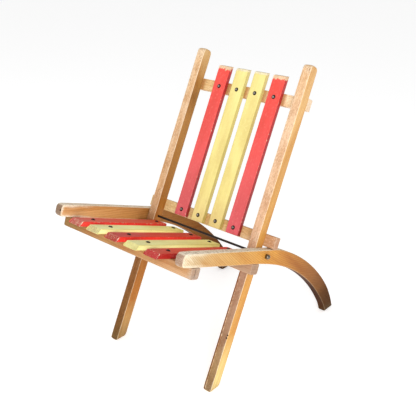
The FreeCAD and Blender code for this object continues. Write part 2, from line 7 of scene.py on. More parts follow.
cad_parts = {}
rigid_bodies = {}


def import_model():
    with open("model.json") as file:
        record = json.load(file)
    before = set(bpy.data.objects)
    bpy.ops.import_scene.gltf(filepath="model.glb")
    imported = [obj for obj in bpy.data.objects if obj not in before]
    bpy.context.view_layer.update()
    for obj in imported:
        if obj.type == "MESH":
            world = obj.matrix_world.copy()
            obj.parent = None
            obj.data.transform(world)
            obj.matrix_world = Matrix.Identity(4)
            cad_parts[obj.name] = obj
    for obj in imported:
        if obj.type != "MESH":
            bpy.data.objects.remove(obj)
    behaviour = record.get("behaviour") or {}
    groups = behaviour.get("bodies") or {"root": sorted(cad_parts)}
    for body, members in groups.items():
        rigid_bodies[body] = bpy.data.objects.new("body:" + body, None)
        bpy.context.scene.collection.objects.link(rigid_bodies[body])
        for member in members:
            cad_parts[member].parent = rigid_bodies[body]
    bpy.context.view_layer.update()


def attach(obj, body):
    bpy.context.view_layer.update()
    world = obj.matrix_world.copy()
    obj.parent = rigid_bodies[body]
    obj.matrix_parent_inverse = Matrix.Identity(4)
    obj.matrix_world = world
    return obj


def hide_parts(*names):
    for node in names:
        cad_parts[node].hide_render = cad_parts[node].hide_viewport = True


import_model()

# --- frames of the object, in millimetres -----------------------------------
PY, PZ = -30.335, 325.5
ARM = math.radians(19.86)
DECK = math.radians(20.534)
LEAN = math.radians(26.45)


def seat_axes(angle):
    """Unit vectors along the run and the offset, for the arm and the deck."""
    c, s = math.cos(angle), math.sin(angle)
    return np.array([0.0, -c, s]), np.array([0.0, s, c])


def back_axes():
    c, s = math.cos(LEAN), math.sin(LEAN)
    return np.array([0.0, s, c]), np.array([0.0, -c, s])


AXES = {"arm": seat_axes(ARM), "deck": seat_axes(DECK), "back": back_axes()}
XDIR = np.array([1.0, 0.0, 0.0])
ORIGIN = np.array([0.0, PY, PZ])


# --- seeded noise for dents and worn corners ---------------------------------
def hashed(i, j, k, seed):
    h = (i * 374761393 + j * 668265263 + k * 2147483647 + seed * 1274126177) & 0xFFFFFFFF
    h = ((h ^ (h >> 13)) * 1274126177) & 0xFFFFFFFF
    h = (h ^ (h >> 16)) & 0xFFFF
    return h / 65535.0


def value_noise(p, scale, seed):
    """Smooth noise from 0 to 1 at points p (n,3)."""
    q = p / np.asarray(scale, float)
    i = np.floor(q).astype(np.int64)
    f = q - i
    f = f * f * (3 - 2 * f)
    out = np.zeros(len(p))
    for a in (0, 1):
        for b in (0, 1):
            for c in (0, 1):
                w = ((f[:, 0] if a else 1 - f[:, 0]) * (f[:, 1] if b else 1 - f[:, 1])
                     * (f[:, 2] if c else 1 - f[:, 2]))
                out += w * hashed(i[:, 0] + a, i[:, 1] + b, i[:, 2] + c, seed)
    return out


# --- outlines ------------------------------------------------------------------
def line(a, b, n):
    """Points from a to b, without the last."""
    t = np.linspace(0, 1, n, endpoint=False)[:, None]
    return np.array(a, float) + (np.array(b, float) - np.array(a, float)) * t


def arc(centre, radius, a0, a1, n):
    """Points on an arc between two angles in degrees, without the last."""
    t = np.radians(np.linspace(a0, a1, n, endpoint=False))
    return np.stack([centre[0] + radius * np.cos(t), centre[1] + radius * np.sin(t)], 1)


def turning(start, heading, steps, counts):
    """A chain of tangent arcs that turn left: one array of points for each arc."""
    out, p, h = [], np.array(start, float), math.radians(heading)
    for (radius, sweep), n in zip(steps, counts):
        s = math.radians(sweep)
        t = np.linspace(0, s, n + 1)
        run = p[0] + radius * (np.sin(h + t) - math.sin(h))
        off = p[1] + radius * (math.cos(h) - np.cos(h + t))
        pts = np.stack([run, off], 1)
        out.append(pts)
        p, h = pts[-1], h + s
    return out


def leg_curves():
    """Outer and inner edge of a side member, from the foot to the front end."""
    top, under, slope, nose, front = 15.9, 19.2, math.radians(0.6765), 11.0, 327.0
    a, b, c, d = 112, 24, 66, 7
    o1, o2, o3 = turning((-52.2, top), 180.0,
                         [(150.0, 7.85), (777.0, 23.67), (376.4, 19.479934)], (5, 76, 31))
    outer = np.vstack([o1, o2[1:], o3[1:]])[::-1]           # a + 1 points
    i1, i2, i3 = turning((45.0, -under), 180.6765,
                         [(1013.0, 5.53), (700.0, 30.9), (150.0, 15.612234)], (b, 99, 13))
    inner = np.vstack([i2, i3[1:]])[::-1]                   # a + 1 points
    low = under - (front - nose - 45.0) * math.tan(slope)
    mid = nose / math.cos(slope) - low
    p = np.vstack([outer[:-1], line((-52.2, top), (45.0, top), b),
                   line((45.0, top), (front - nose, top), c),
                   arc((front - nose, top - nose), nose, 90, 0, d),
                   [[front, top - nose]]])
    q_end = (front - nose + nose * math.sin(slope), mid - nose * math.cos(slope))
    q = np.vstack([inner[:-1], i1[::-1][:-1],
                   line((45.0, -under), q_end, c),
                   arc((front - nose, mid), nose, -90 + math.degrees(slope), 0, d),
                   [[front, mid]]])
    return p, q


def through(p0, p1, radius):
    """Centre of the arc from p0 to p1 that bulges away from the middle of the post."""
    m = ((p0[0] + p1[0]) / 2, (p0[1] + p1[1]) / 2)
    dx, dy = p1[0] - p0[0], p1[1] - p0[1]
    half = math.hypot(dx, dy) / 2
    h = math.sqrt(radius ** 2 - half ** 2)
    n = (-dy / (2 * half), dx / (2 * half))
    a, b = (m[0] + n[0] * h, m[1] + n[1] * h), (m[0] - n[0] * h, m[1] - n[1] * h)
    return a if a[1] > b[1] else b


def post_curves():
    """Front and rear face of a post, from the foot to the top."""
    f, r, tp, tr = 16.0, 16.5, 483.0, 10.5
    floor = lambda off: -((PZ + off * math.sin(LEAN)) / math.cos(LEAN))
    heel, ease = (floor(-8.0), -8.0), (-347.0, -r)
    c = through(heel, ease, 16.0)
    a0 = math.degrees(math.atan2(heel[1] - c[1], heel[0] - c[0])) % 360
    a1 = math.degrees(math.atan2(ease[1] - c[1], ease[0] - c[0])) % 360
    n1, n2, n3 = 14, 200, 7
    p = np.vstack([line((floor(f), f), (-352.0, f), n1), line((-352.0, f), (tp - tr, f), n2),
                   arc((tp - tr, f - tr), tr, 90, 0, n3), [[tp, f - tr]]])
    q = np.vstack([arc(c, 16.0, a0, a1, n1), line(ease, (tp - tr, -r), n2),
                   arc((tp - tr, tr - r), tr, -90, 0, n3), [[tp, tr - r]]])
    return p, q


def rail_curves(a, b, low, high, r_low, r_high):
    """Upper and lower edge of a rail's section, from its rear to its front side."""
    n, m = 5, 7
    p = np.vstack([arc((a + r_high, high - r_high), r_high, 180, 90, n),
                   line((a + r_high, high), (b - r_high, high), m),
                   arc((b - r_high, high - r_high), r_high, 90, 0, n),
                   [[b, high - r_high]]])
    q = np.vstack([arc((a + r_low, low + r_low), r_low, 180, 270, n),
                   line((a + r_low, low), (b - r_low, low), m),
                   arc((b - r_low, low + r_low), r_low, 270, 360, n),
                   [[b, low + r_low]]])
    return p, q


def slat_curves(a, b_face, b_back, back, face, n):
    """Show face and back of a slat, from its rear or lower end to the other."""
    t = np.linspace(0, 1, n + 1)
    t = 0.5 - 0.5 * np.cos(math.pi * t)           # closer together at both ends
    t = 0.55 * t + 0.45 * np.linspace(0, 1, n + 1)
    near = np.array([0.9, 2.0, 3.4]) / (b_face - a)
    t = np.unique(np.concatenate([t, near, 1 - near]))
    p = np.stack([a + (b_face - a) * t, np.full(len(t), face)], 1)
    q = np.stack([a + (b_back - a) * t, np.full(len(t), back)], 1)
    return p, q


# --- the solid between two curves, rounded along its outline --------------------
def prism(name, p, q, x0, x1, r, across, step, axes, grain, seed, wear, blunt=(), ease=0.0):
    """Mesh of a board: outline p..q in the run and offset plane, from x0 to x1.

    grain says which coordinate runs along the wood: "run" or "x".
    wear is (edge dents, face waves, end chips) in millimetres, all taken off the surface.
    """
    n, m = len(p) - 1, across
    eased = lambda t: ease - np.sqrt(ease ** 2 - np.clip(ease - t, 0, ease) ** 2)
    chain = np.concatenate([[0], np.cumsum(np.linalg.norm(np.diff((p + q) / 2, axis=0), axis=1))])
    if ease:
        # the first end is rounded in towards its middle by this radius
        gap = q - p
        gap = gap / np.linalg.norm(gap, axis=1)[:, None] * eased(chain)[:, None]
        p, q = p + gap, q - gap
    j = (np.arange(1, m) / m)[:, None]
    loop = np.vstack([p, p[n] + (q[n] - p[n]) * j, q[::-1], q[0] + (p[0] - q[0]) * j])
    count = len(loop)
    d = np.roll(loop, -1, 0) - loop
    d /= np.linalg.norm(d, axis=1)[:, None]
    nxt = np.roll(loop, -1, 0)
    turn = np.sign(np.sum(loop[:, 0] * nxt[:, 1] - nxt[:, 0] * loop[:, 1]))
    inward = turn * np.stack([-d[:, 1], d[:, 0]], 1)
    before = np.roll(inward, 1, 0)
    mitre = (inward + before) / (1 + np.sum(inward * before, axis=1))[:, None]
    hold = min(0.7, 0.35 * r + 0.2)
    th = np.linspace(0, math.pi / 2, 5)
    left = [(r + hold, x0, r * math.pi / 4 + hold)]
    left += [(r * (1 - math.sin(t)), x0 + r * (1 - math.cos(t)), abs(t - math.pi / 4) * r)
             for t in th]
    inner = x0 + r + hold, x1 - r - hold
    k = max(2, int(round((inner[1] - inner[0]) / step)))
    middle = [(0.0, x, r * math.pi / 4 + min(x - x0 - r, x1 - r - x))
              for x in np.linspace(inner[0], inner[1], k + 1)]
    right = [(a, x0 + x1 - x, e) for a, x, e in left[::-1]]
    rings = left + middle + right
    pts, xs, edge = [], [], []
    for inset, x, e in rings:
        pts.append(loop + mitre * inset)
        xs.append(np.full(count, x))
        edge.append(np.full(count, e))
    pts, xs, edge = np.vstack(pts), np.concatenate(xs), np.concatenate(edge)
    base = len(pts)
    # the two side faces
    grid = np.zeros((n + 1, m + 1), np.int64)
    grid[:, 0] = np.arange(n + 1)
    grid[:, m] = (n + 1) + (m - 1) + (n - np.arange(n + 1))
    grid[n, 1:m] = n + 1 + np.arange(m - 1)
    grid[0, 1:m] = (2 * n + 2) + (m - 1) + (m - 1 - np.arange(1, m))
    ring0 = loop + mitre * (r + hold)
    jj = (np.arange(1, m) / m)[None, :, None]
    inside = ring0[grid[1:n, 0]][:, None] * (1 - jj) + ring0[grid[1:n, m]][:, None] * jj
    inside = inside.reshape(-1, 2)
    dist = np.full(len(inside), 1e9)
    for s in range(0, len(inside), 400):
        part = inside[s:s + 400]
        dist[s:s + 400] = np.sqrt(((part[:, None] - loop[None]) ** 2).sum(2)).min(1)
    cap_edge = np.maximum(dist - r, 0) + r * math.pi / 4
    extra = len(inside)
    faces = []
    a = np.arange(count)
    b = (a + 1) % count
    for ring in range(len(rings) - 1):
        o, w = ring * count, (ring + 1) * count
        faces.append(np.stack([o + a, o + b, w + b, w + a], 1))
    for side in (0, 1):
        g = grid.copy() + (0 if side == 0 else (len(rings) - 1) * count)
        g[1:n, 1:m] = (base + side * extra + np.arange(extra)).reshape(n - 1, m - 1)
        f = np.stack([g[:-1, :-1], g[:-1, 1:], g[1:, 1:], g[1:, :-1]], 2).reshape(-1, 4)
        faces.append(f if side == 0 else f[:, ::-1])
    pts = np.vstack([pts, inside, inside])
    xs = np.concatenate([xs, np.full(extra, x0), np.full(extra, x1)])
    edge = np.concatenate([edge, cap_edge, cap_edge])
    faces = np.vstack(faces)
    # distances to the two ends, measured along the grain
    if grain == "run":
        station = np.zeros(len(pts))
        ids = np.zeros(count)
        ids[:n + 1] = chain
        ids[n + 1:n + m] = chain[-1]
        ids[n + m:2 * n + m + 1] = chain[::-1]
        ids[2 * n + m + 1:] = 0
        station[:base] = np.tile(ids, len(rings))
        rows = np.repeat(chain[1:n], m - 1)
        station[base:] = np.concatenate([rows, rows])
        d0, d1 = station, chain[-1] - station
        if ease:
            half = (x1 - x0) / 2
            xs = x0 + half + (xs - x0 - half) * (1 - eased(station) / half)
    else:
        d0, d1 = xs - x0, x1 - xs
    u, v = axes
    flat = pts[:, :1] * u + pts[:, 1:] * v + xs[:, None] * XDIR
    world = ORIGIN + flat
    # outward normals, area weighted
    c0, c1, c2, c3 = (world[faces[:, i]] for i in range(4))
    fn = np.cross(c2 - c0, c3 - c1)
    if np.sum(np.einsum("ij,ij->i", (c0 + c1 + c2 + c3) / 4 - world.mean(0), fn)) < 0:
        faces, fn = faces[:, ::-1], -fn
    normal = np.zeros_like(world)
    for i in range(4):
        np.add.at(normal, faces[:, i], fn)
    normal /= np.maximum(np.linalg.norm(normal, axis=1), 1e-12)[:, None]
    dents, waves, chips = wear
    local = np.stack([pts[:, 0], pts[:, 1], xs], 1)
    cut = waves * value_noise(local, 26.0, seed)
    cut += dents * np.exp(-edge / 1.6) * (
        0.25 + 1.2 * np.clip(value_noise(local, (11.0, 11.0, 11.0), seed + 1) - 0.45, 0, 1))
    if chips:
        end = np.minimum(d0, d1)
        cut += chips * np.exp(-end / 1.5) * (
            0.3 + 1.6 * np.clip(value_noise(local, 4.2, seed + 2) - 0.4, 0, 1))
    for which, depth, reach, across_reach in blunt:
        # worn ends: how deep, how far along, and how far from the edges
        end = d0 if which == 0 else d1
        cut += depth * np.exp(-end / reach) * (np.exp(-edge / across_reach) if across_reach else 1)
    world = world - normal * cut[:, None]
    mesh = bpy.data.meshes.new(name)
    mesh.vertices.add(len(world))
    mesh.vertices.foreach_set("co", (world * 0.001).astype(np.float32).ravel())
    mesh.loops.add(len(faces) * 4)
    mesh.loops.foreach_set("vertex_index", faces.astype(np.int32).ravel())
    mesh.polygons.add(len(faces))
    mesh.polygons.foreach_set("loop_start", np.arange(0, len(faces) * 4, 4, dtype=np.int32))
    mesh.update(calc_edges=True)
    mesh.validate()
    mesh.polygons.foreach_set("use_smooth", np.ones(len(mesh.polygons), bool))
    mesh.set_sharp_from_angle(angle=math.radians(42))
    nl = np.stack([normal @ u, normal @ v, normal[:, 0]], 1)
    if grain == "x":
        local = np.stack([xs, pts[:, 1], pts[:, 0]], 1)
        nl = np.stack([normal[:, 0], normal @ v, normal @ u], 1)
    shift = np.array([0.913, 0.271, 0.637]) * (seed % 97)
    for label, data in (("grain", local * 0.001 + shift),
                        ("wear", np.stack([edge, d0, d1], 1)),
                        ("side", nl)):
        att = mesh.attributes.new(label, "FLOAT_VECTOR", "POINT")
        att.data.foreach_set("vector", data.astype(np.float32).ravel())
    obj = bpy.data.objects.new(name, mesh)
    bpy.context.scene.collection.objects.link(obj)
    return obj


# --- node helpers -----------------------------------------------------------------
def rgb(r, g, b):
    out = []
    for c in (r, g, b):
        c /= 255.0
        out.append(c / 12.92 if c <= 0.04045 else ((c + 0.055) / 1.055) ** 2.4)
    return (*out, 1.0)


class Nodes:
    def __init__(self, name):
        self.mat = bpy.data.materials.new(name)
        self.mat.use_nodes = True
        self.tree = self.mat.node_tree
        self.tree.nodes.clear()
        self.bsdf = self.tree.nodes.new("ShaderNodeBsdfPrincipled")
        out = self.tree.nodes.new("ShaderNodeOutputMaterial")
        self.tree.links.new(self.bsdf.outputs[0], out.inputs[0])

    def put(self, socket, value):
        if hasattr(value, "is_output"):
            self.tree.links.new(value, socket)
        else:
            socket.default_value = value

    def attr(self, name):
        n = self.tree.nodes.new("ShaderNodeAttribute")
        n.attribute_name = name
        return n.outputs["Vector"]

    def split(self, vec):
        n = self.tree.nodes.new("ShaderNodeSeparateXYZ")
        self.put(n.inputs[0], vec)
        return n.outputs

    def math(self, op, a, b=0.0, clamp=False):
        n = self.tree.nodes.new("ShaderNodeMath")
        n.operation, n.use_clamp = op, clamp
        self.put(n.inputs[0], a)
        self.put(n.inputs[1], b)
        return n.outputs[0]

    def step(self, value, lo, hi, a=0.0, b=1.0):
        n = self.tree.nodes.new("ShaderNodeMapRange")
        n.interpolation_type = "SMOOTHSTEP"
        for i, v in enumerate((value, lo, hi, a, b)):
            self.put(n.inputs[i], v)
        return n.outputs[0]

    def mapping(self, vec, scale, rot=(0, 0, 0), loc=(0, 0, 0)):
        n = self.tree.nodes.new("ShaderNodeMapping")
        self.put(n.inputs["Vector"], vec)
        n.inputs["Location"].default_value = loc
        n.inputs["Rotation"].default_value = tuple(math.radians(a) for a in rot)
        n.inputs["Scale"].default_value = scale
        return n.outputs[0]

    def noise(self, vec, scale=1.0, detail=4.0, rough=0.55, warp=0.0):
        n = self.tree.nodes.new("ShaderNodeTexNoise")
        self.put(n.inputs["Vector"], vec)
        n.inputs["Scale"].default_value = scale
        n.inputs["Detail"].default_value = detail
        n.inputs["Roughness"].default_value = rough
        n.inputs["Distortion"].default_value = warp
        return n.outputs["Fac"]

    def wave(self, vec, scale, warp, detail, dscale):
        n = self.tree.nodes.new("ShaderNodeTexWave")
        n.wave_type, n.bands_direction = "BANDS", "Y"
        self.put(n.inputs["Vector"], vec)
        n.inputs["Scale"].default_value = scale
        n.inputs["Distortion"].default_value = warp
        n.inputs["Detail"].default_value = detail
        n.inputs["Detail Scale"].default_value = dscale
        return n.outputs["Fac"]

    def mix(self, fac, a, b, how="MIX"):
        n = self.tree.nodes.new("ShaderNodeMix")
        n.data_type, n.blend_type = "RGBA", how
        self.put(n.inputs[0], fac)
        self.put(n.inputs[6], a)
        self.put(n.inputs[7], b)
        return n.outputs[2]

    def ramp(self, fac, stops):
        n = self.tree.nodes.new("ShaderNodeValToRGB")
        self.put(n.inputs[0], fac)
        el = n.color_ramp.elements
        while len(el) < len(stops):
            el.new(0.5)
        for e, (at, colour) in zip(el, sorted(stops, key=lambda s: s[0])):
            e.position, e.color = at, colour
        return n.outputs[0]

    def bump(self, height, strength, distance, under=None):
        n = self.tree.nodes.new("ShaderNodeBump")
        self.put(n.inputs["Strength"], strength)
        n.inputs["Distance"].default_value = distance
        self.put(n.inputs["Height"], height)
        if under is not None:
            self.put(n.inputs["Normal"], under)
        return n.outputs[0]

    def done(self, colour, rough, normal, specular=0.45):
        self.put(self.bsdf.inputs["Base Color"], colour)
        self.put(self.bsdf.inputs["Roughness"], rough)
        if normal is not None:
            self.put(self.bsdf.inputs["Normal"], normal)
        self.bsdf.inputs["Specular IOR Level"].default_value = specular
        return self.mat


def stops(length, table):
    return [(min(1.0, max(0.0, at / length)), rgb(*c)) for at, c in table]


def wood(name, length, side, face, back, worn=(0.3, 0.12, 0.1), rim=0.8, slant=5.0,
         ends=(0.6, 0.6), dark_ends=0.35, lines=(57.0, 2.2, 0.4), marks=(), crack=None, tip=None,
         bend=None, shade_strip=None, halo=0.0, shadow_beside=()):
    """Varnished hardwood, worn to raw wood on its faces, edges and ends.

    side, face and back are colours along the length for the three sorts of surface;
    worn is how much of the face, the sides and the back has lost its varnish;
    lines is (scale, waviness, strength) of the growth lines; marks are small holes.
    """
    k = Nodes(name)
    grain = k.attr("grain")
    edge, d0, d1 = k.split(k.attr("wear"))
    n_run, n_off, _ = k.split(k.attr("side"))
    at = k.math("DIVIDE", d0, length, True)
    drift = k.math("MULTIPLY", k.math("SUBTRACT", k.noise(grain, 14.0, 2.0), 0.5), 0.1)
    at = k.math("ADD", at, drift, True)
    up = k.step(n_off, 0.5, 0.9)
    down = k.step(k.math("MULTIPLY", n_off, -1.0), 0.5, 0.9)
    base = k.ramp(at, stops(length, side))
    base = k.mix(up, base, k.ramp(at, stops(length, face)))
    base = k.mix(down, base, k.ramp(at, stops(length, back)))
    if tip is not None:
        worn_end = k.math("MULTIPLY", k.step(n_run, 0.35, 0.85), k.step(d1, 40.0, 22.0))
        base = k.mix(k.math("MULTIPLY", worn_end, tip[3]), base, rgb(*tip[:3]))
    if shade_strip is not None:
        # a dark band along the lower half of the board: painted shade on its rounded edge, with a broken
        # pale line next to it
        from_edge = k.math("SUBTRACT", k.split(grain)[2], shade_strip)
        ragged = k.math("MULTIPLY", k.math("SUBTRACT", k.noise(
            k.mapping(grain, (60, 200, 200)), 1.0, 3.0), 0.5), 0.003)
        from_edge = k.math("ADD", from_edge, ragged)
        low_half = k.math("MULTIPLY", k.step(d0, 345.0, 300.0), k.step(n_off, 0.2, 0.5))
        base = k.mix(k.math("MULTIPLY", low_half, k.step(from_edge, 0.0052, 0.0036)), base,
                     k.mix(1.0, base, rgb(196, 160, 124), "MULTIPLY"))
        dotted = k.math("MULTIPLY", k.step(k.math("ABSOLUTE", k.math(
            "SUBTRACT", from_edge, 0.006)), 0.0012, 0.0004), k.step(k.noise(
                k.mapping(grain, (150, 60, 60)), 1.0, 2.0), 0.4, 0.56))
        base = k.mix(k.math("MULTIPLY", low_half, k.math("MULTIPLY", dotted, 0.8)), base,
                     rgb(226, 196, 160))
    # figure of the wood
    tilted = k.mapping(grain, (1, 1, 1), (0, 0, slant))
    bands = k.noise(k.mapping(tilted, (3.0, 34, 34)), 1.0, 3.0, 0.55, 0.5)
    streak = k.noise(k.mapping(tilted, (9, 270, 270)), 1.0, 5.0, 0.62, 0.2)
    pores = k.noise(k.mapping(tilted, (60, 1300, 1300)), 1.0, 2.0, 0.5)
    where = k.mapping(tilted, (0.5, 1, 1))
    if bend is not None:
        # lines at one angle at the front of the board and a flatter one at its rear
        g = k.split(grain)
        run = k.math("SUBTRACT", g[0], bend[2])
        fall = k.math("MULTIPLY", run, k.math("ADD", bend[0], k.math("MULTIPLY", run, bend[1] / 2)))
        join = k.tree.nodes.new("ShaderNodeCombineXYZ")
        k.put(join.inputs[0], k.math("MULTIPLY", g[0], 0.5))
        k.put(join.inputs[1], k.math("SUBTRACT", g[1], fall))
        k.put(join.inputs[2], k.math("MULTIPLY", g[2], 0.6))
        where = join.outputs[0]
        streak = k.noise(k.mapping(where, (18, 270, 270)), 1.0, 5.0, 0.62, 0.2)
    rings = k.wave(where, lines[0], lines[1], 3.0, 0.9)
    dark = k.mix(1.0, base, rgb(234, 216, 190), "MULTIPLY")
    light = k.mix(1.0, base, (1.16, 1.2, 1.26, 1.0), "MULTIPLY")
    col = k.mix(k.step(bands, 0.3, 0.62), dark, base)
    col = k.mix(k.math("MULTIPLY", k.step(streak, 0.5, 0.74), 0.6), col, light)
    col = k.mix(k.math("MULTIPLY", k.step(streak, 0.5, 0.28), 0.6), col, dark)
    col = k.mix(k.math("MULTIPLY", k.step(rings, 0.55, 0.97), lines[2]), col,
                k.mix(1.0, base, rgb(196, 152, 100), "MULTIPLY"))
    col = k.mix(k.math("MULTIPLY", k.step(pores, 0.6, 0.7), 0.3), col,
                k.mix(1.0, base, rgb(150, 122, 100), "MULTIPLY"))
    # worn areas: paler raw wood, speckled
    patch = k.noise(k.mapping(grain, (16, 52, 52)), 1.0, 6.0, 0.66, 0.4)
    fine = k.noise(k.mapping(grain, (260, 420, 420)), 1.0, 4.0, 0.7)
    bias = k.math("MULTIPLY", up, worn[0] - worn[1])
    bias = k.math("ADD", bias, worn[1])
    bias = k.math("ADD", bias, k.math("MULTIPLY", down, worn[2] - worn[1]))
    near = k.math("MULTIPLY", k.step(edge, 6.0, 0.0), 0.14 * rim)
    tip1 = k.math("MULTIPLY", k.step(d1, 40.0, 0.0), ends[1] * 0.5)
    tip0 = k.math("MULTIPLY", k.step(d0, 34.0, 0.0), ends[0] * 0.5)
    bias = k.math("ADD", k.math("ADD", bias, near), k.math("ADD", tip1, tip0))
    level = k.math("ADD", k.math("MULTIPLY", patch, 0.6), k.math("MULTIPLY", fine, 0.5))
    thr = k.math("SUBTRACT", 0.80, k.math("MULTIPLY", bias, 0.55))
    gone = k.step(k.math("SUBTRACT", level, thr), -0.07, 0.07)
    raw = k.mix(k.step(fine, 0.34, 0.66), rgb(186, 160, 128), rgb(238, 224, 198))
    raw = k.mix(k.math("MULTIPLY", k.step(streak, 0.52, 0.3), 0.4), raw, rgb(150, 122, 94))
    tone = k.tree.nodes.new("ShaderNodeRGBToBW")
    k.put(tone.inputs[0], base)
    raw = k.mix(k.step(tone.outputs[0], 0.42, 0.1, 0.45, 0.96), raw, base)
    col = k.mix(k.math("MULTIPLY", gone, 0.8), col, raw)
    # salt and pepper of the open grain, strongest where the varnish has gone
    pepper = k.noise(k.mapping(grain, (170, 330, 330)), 1.0, 3.0, 0.7)
    amount = k.math("ADD", k.math("MULTIPLY", gone, 0.4), k.math("ADD", k.math(
        "MULTIPLY", up, 0.25), 0.1))
    col = k.mix(k.math("MULTIPLY", k.step(pepper, 0.54, 0.68), amount), col,
                k.mix(1.0, base, rgb(150, 112, 84), "MULTIPLY"))
    col = k.mix(k.math("MULTIPLY", k.step(pepper, 0.46, 0.34), k.math(
        "MULTIPLY", amount, 1.3), True), col, k.mix(
            1.0, base, (1.32, 1.36, 1.42, 1.0), "MULTIPLY"))
    # rubbed edges: a thin cream line, broken up
    rub = k.step(k.math("SUBTRACT", edge, k.math("MULTIPLY", k.noise(
        k.mapping(grain, (60, 300, 300)), 1.0, 4.0, 0.6), 3.0)), 0.0, -1.15)
    rub = k.math("MULTIPLY", rub, rim)
    pale = k.mix(k.step(tone.outputs[0], 0.3, 0.04, 0.35, 0.78), rgb(250, 236, 206), base)
    col = k.mix(k.math("MULTIPLY", rub, 0.7, True), col, pale)
    if halo:
        # varnish gone in a broad pale rim round the front of the side faces
        rim_at = k.step(k.math("ADD", edge, k.math("MULTIPLY", k.math(
            "SUBTRACT", patch, 0.5), 14.0)), 8.5, 1.5)
        flat = k.step(k.math("ABSOLUTE", k.split(k.attr("side"))[2]), 0.3, 0.8)
        rim_at = k.math("MULTIPLY", k.math("MULTIPLY", rim_at, flat), k.step(d1, 130.0, 20.0))
        bright = k.mix(k.step(fine, 0.36, 0.62), rgb(222, 204, 174), rgb(252, 242, 220))
        col = k.mix(k.math("MULTIPLY", rim_at, halo), col, bright)
    if shadow_beside:
        # painted shadow on the rail along the right side of each board that crosses it
        along = k.split(grain)[0]
        grime_and_shadow = None
        for x in shadow_beside:
            t = k.math("SUBTRACT", along, x)
            one = k.math("MULTIPLY", k.step(t, 0.014, 0.003), k.step(t, -0.002, 0.0))
            grime_and_shadow = one if grime_and_shadow is None else k.math("MAXIMUM", grime_and_shadow, one)
        grime_and_shadow = k.math("MULTIPLY", grime_and_shadow, k.math("SUBTRACT", 1.0, down))
        col = k.mix(k.math("MULTIPLY", grime_and_shadow, 0.8), col,
                    k.mix(1.0, base, rgb(190, 150, 108), "MULTIPLY"))
    # dirt: specks, and dark end grain
    speck = k.noise(k.mapping(grain, (330, 520, 520)), 1.0, 2.0, 0.5)
    col = k.mix(k.math("MULTIPLY", k.step(speck, 0.69, 0.74), 0.6), col,
                k.mix(1.0, base, rgb(120, 96, 80), "MULTIPLY"))
    smudge = k.noise(k.mapping(grain, (34, 60, 60)), 1.0, 5.0, 0.6)
    col = k.mix(k.math("MULTIPLY", k.step(smudge, 0.6, 0.76), 0.2), col,
                k.mix(1.0, base, rgb(160, 136, 112), "MULTIPLY"))
    tipped = k.step(k.math("MINIMUM", d0, d1), 3.5, 0.4)
    col = k.mix(k.math("MULTIPLY", tipped, dark_ends), col,
                k.mix(1.0, base, rgb(206, 188, 178), "MULTIPLY"))
    height = k.math("ADD", k.math("MULTIPLY", streak, 0.5), k.math("MULTIPLY", fine, 0.5))
    height = k.math("SUBTRACT", height, k.math("MULTIPLY", k.step(pores, 0.58, 0.7), 0.35))
    height = k.math("SUBTRACT", height, k.math("MULTIPLY", gone, 0.35))
    for spot, size in marks:
        n = k.tree.nodes.new("ShaderNodeVectorMath")
        n.operation = "DISTANCE"
        k.put(n.inputs[0], grain)
        n.inputs[1].default_value = spot
        hole = k.step(n.outputs["Value"], size * 1.15, size * 0.75)
        col = k.mix(hole, col, rgb(38, 22, 14))
        height = k.math("SUBTRACT", height, k.math("MULTIPLY", hole, 3.0))
    if crack is not None:
        wander = k.math("MULTIPLY", k.math("SUBTRACT", k.noise(grain, 130.0, 4.0, 0.6), 0.5), 0.0042)
        g = k.split(grain)
        off = k.math("ABSOLUTE", k.math("ADD", k.math("SUBTRACT", g[2], crack[0]), wander))
        split_at = k.math("MULTIPLY", k.step(off, 0.0013, 0.0005), k.step(
            k.math("ABSOLUTE", k.math("SUBTRACT", g[1], crack[1])), 0.0115, 0.009))
        split_at = k.math("MULTIPLY", split_at, k.step(d1, 3.0, 1.6))
        col = k.mix(k.math("MULTIPLY", split_at, 0.88), col, rgb(58, 42, 38))
        height = k.math("SUBTRACT", height, k.math("MULTIPLY", split_at, 3.0))
    normal = k.bump(height, 0.28, 0.0007)
    rough = k.math("ADD", k.math("MULTIPLY", gone, 0.3), 0.44)
    rough = k.math("ADD", rough, k.math("MULTIPLY", k.math("SUBTRACT", fine, 0.5), 0.2), True)
    mat = k.done(col, rough, normal)
    k.put(k.bsdf.inputs["Specular IOR Level"], k.step(tone.outputs[0], 0.02, 0.3, 0.015, 0.17))
    return mat


